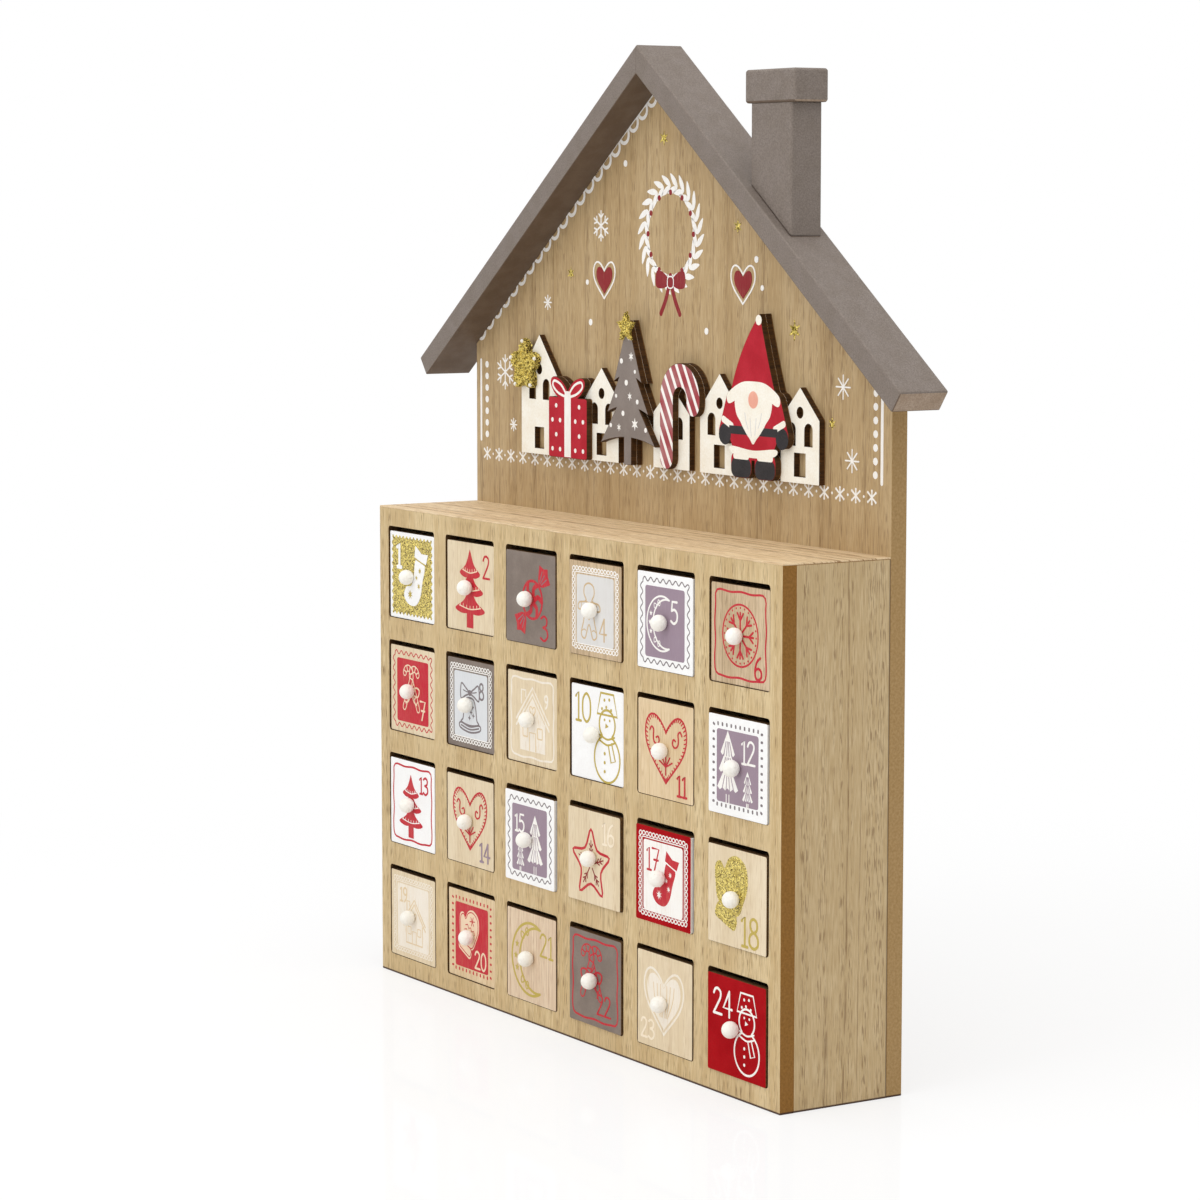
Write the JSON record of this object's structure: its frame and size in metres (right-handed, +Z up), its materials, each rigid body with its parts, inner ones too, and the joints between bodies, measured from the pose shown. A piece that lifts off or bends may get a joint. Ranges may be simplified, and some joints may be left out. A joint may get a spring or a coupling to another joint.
{
  "type": "wooden advent calendar",
  "caption": "House-shaped wooden advent calendar: a box of small numbered drawers with bead knobs in front of a gable panel with a roof, a chimney and festive cut-outs.",
  "frame": {"origin": "on the table, under the middle of the drawer box", "axes": "+Z up, drawers open towards -Y, +X to the right as seen from the front"},
  "size_m": [0.348, 0.0622, 0.3908],
  "materials": {
    "veneer": "open-grained veneer on MDF, unvarnished, brown cut edges",
    "plain_board": "bare MDF and thin plywood",
    "roof_paint": "matte taupe paint",
    "cream_paint": "matte cream paint, laser-darkened plywood edges",
    "red_paint": "matte red and white print, laser-darkened plywood edges",
    "taupe_paint": "matte taupe print, laser-darkened plywood edges",
    "gold_glitter": "gold glitter on plywood",
    "drawer_natural": "bare wood front with printed motif",
    "drawer_white": "white printed front, white bead knob",
    "drawer_taupe": "taupe printed front",
    "drawer_red": "red printed front"
  },
  "bodies": {
    "casing": {"front_frame": "veneer", "left_side": "veneer", "right_side": "veneer", "top_veneer": "veneer", "back_panel": "veneer", "top_board": "plain_board", "bottom_board": "plain_board", "roof_left": "roof_paint", "roof_right": "roof_paint", "chimney_stack": "roof_paint", "chimney_cap": "roof_paint", "village_cutout": "cream_paint", "gift_cutout": "red_paint", "tree_cutout": "taupe_paint", "cane_cutout": "red_paint", "gnome_cutout": "red_paint", "star_cutout": "gold_glitter", "sprig_cutout": "gold_glitter", "shelf_1": "plain_board", "shelf_2": "plain_board", "shelf_3": "plain_board", "divider_1": "plain_board", "divider_2": "plain_board", "divider_3": "plain_board", "divider_4": "plain_board", "divider_5": "plain_board"},
    "drawer_01": {"drawer_01": "drawer_white"},
    "drawer_02": {"drawer_02": "drawer_natural"},
    "drawer_03": {"drawer_03": "drawer_taupe"},
    "drawer_04": {"drawer_04": "drawer_natural"},
    "drawer_05": {"drawer_05": "drawer_white"},
    "drawer_06": {"drawer_06": "drawer_natural"},
    "drawer_07": {"drawer_07": "drawer_natural"},
    "drawer_08": {"drawer_08": "drawer_taupe"},
    "drawer_09": {"drawer_09": "drawer_natural"},
    "drawer_10": {"drawer_10": "drawer_white"},
    "drawer_11": {"drawer_11": "drawer_natural"},
    "drawer_12": {"drawer_12": "drawer_white"},
    "drawer_13": {"drawer_13": "drawer_white"},
    "drawer_14": {"drawer_14": "drawer_natural"},
    "drawer_15": {"drawer_15": "drawer_white"},
    "drawer_16": {"drawer_16": "drawer_natural"},
    "drawer_17": {"drawer_17": "drawer_red"},
    "drawer_18": {"drawer_18": "drawer_natural"},
    "drawer_19": {"drawer_19": "drawer_natural"},
    "drawer_20": {"drawer_20": "drawer_natural"},
    "drawer_21": {"drawer_21": "drawer_natural"},
    "drawer_22": {"drawer_22": "drawer_taupe"},
    "drawer_23": {"drawer_23": "drawer_natural"},
    "drawer_24": {"drawer_24": "drawer_red"}
  },
  "joints": [
    {"name": "drawer_01_slide", "type": "slide", "parent": "casing", "child": "drawer_01", "axis": [0, -1, 0], "range_m": [0, 0.038]},
    {"name": "drawer_02_slide", "type": "slide", "parent": "casing", "child": "drawer_02", "axis": [0, -1, 0], "range_m": [0, 0.038]},
    {"name": "drawer_03_slide", "type": "slide", "parent": "casing", "child": "drawer_03", "axis": [0, -1, 0], "range_m": [-0.0007, 0.0373]},
    {"name": "drawer_04_slide", "type": "slide", "parent": "casing", "child": "drawer_04", "axis": [0, -1, 0], "range_m": [-0.001, 0.037]},
    {"name": "drawer_05_slide", "type": "slide", "parent": "casing", "child": "drawer_05", "axis": [0, -1, 0], "range_m": [-0.0008, 0.0372]},
    {"name": "drawer_06_slide", "type": "slide", "parent": "casing", "child": "drawer_06", "axis": [0, -1, 0], "range_m": [0, 0.038]},
    {"name": "drawer_07_slide", "type": "slide", "parent": "casing", "child": "drawer_07", "axis": [0, -1, 0], "range_m": [0, 0.038]},
    {"name": "drawer_08_slide", "type": "slide", "parent": "casing", "child": "drawer_08", "axis": [0, -1, 0], "range_m": [0, 0.038]},
    {"name": "drawer_09_slide", "type": "slide", "parent": "casing", "child": "drawer_09", "axis": [0, -1, 0], "range_m": [0, 0.038]},
    {"name": "drawer_10_slide", "type": "slide", "parent": "casing", "child": "drawer_10", "axis": [0, -1, 0], "range_m": [0, 0.038]},
    {"name": "drawer_11_slide", "type": "slide", "parent": "casing", "child": "drawer_11", "axis": [0, -1, 0], "range_m": [-0.0004, 0.0376]},
    {"name": "drawer_12_slide", "type": "slide", "parent": "casing", "child": "drawer_12", "axis": [0, -1, 0], "range_m": [-0.001, 0.037]},
    {"name": "drawer_13_slide", "type": "slide", "parent": "casing", "child": "drawer_13", "axis": [0, -1, 0], "range_m": [-0.0004, 0.0376]},
    {"name": "drawer_14_slide", "type": "slide", "parent": "casing", "child": "drawer_14", "axis": [0, -1, 0], "range_m": [-0.0005, 0.0375]},
    {"name": "drawer_15_slide", "type": "slide", "parent": "casing", "child": "drawer_15", "axis": [0, -1, 0], "range_m": [-0.0014, 0.0366]},
    {"name": "drawer_16_slide", "type": "slide", "parent": "casing", "child": "drawer_16", "axis": [0, -1, 0], "range_m": [-0.0016, 0.0364]},
    {"name": "drawer_17_slide", "type": "slide", "parent": "casing", "child": "drawer_17", "axis": [0, -1, 0], "range_m": [-0.0014, 0.0366]},
    {"name": "drawer_18_slide", "type": "slide", "parent": "casing", "child": "drawer_18", "axis": [0, -1, 0], "range_m": [-0.001, 0.037]},
    {"name": "drawer_19_slide", "type": "slide", "parent": "casing", "child": "drawer_19", "axis": [0, -1, 0], "range_m": [-0.0004, 0.0376]},
    {"name": "drawer_20_slide", "type": "slide", "parent": "casing", "child": "drawer_20", "axis": [0, -1, 0], "range_m": [0, 0.038]},
    {"name": "drawer_21_slide", "type": "slide", "parent": "casing", "child": "drawer_21", "axis": [0, -1, 0], "range_m": [-0.0006, 0.0374]},
    {"name": "drawer_22_slide", "type": "slide", "parent": "casing", "child": "drawer_22", "axis": [0, -1, 0], "range_m": [-0.0011, 0.0369]},
    {"name": "drawer_23_slide", "type": "slide", "parent": "casing", "child": "drawer_23", "axis": [0, -1, 0], "range_m": [-0.0006, 0.0374]},
    {"name": "drawer_24_slide", "type": "slide", "parent": "casing", "child": "drawer_24", "axis": [0, -1, 0], "range_m": [-0.001, 0.037]}
  ]
}
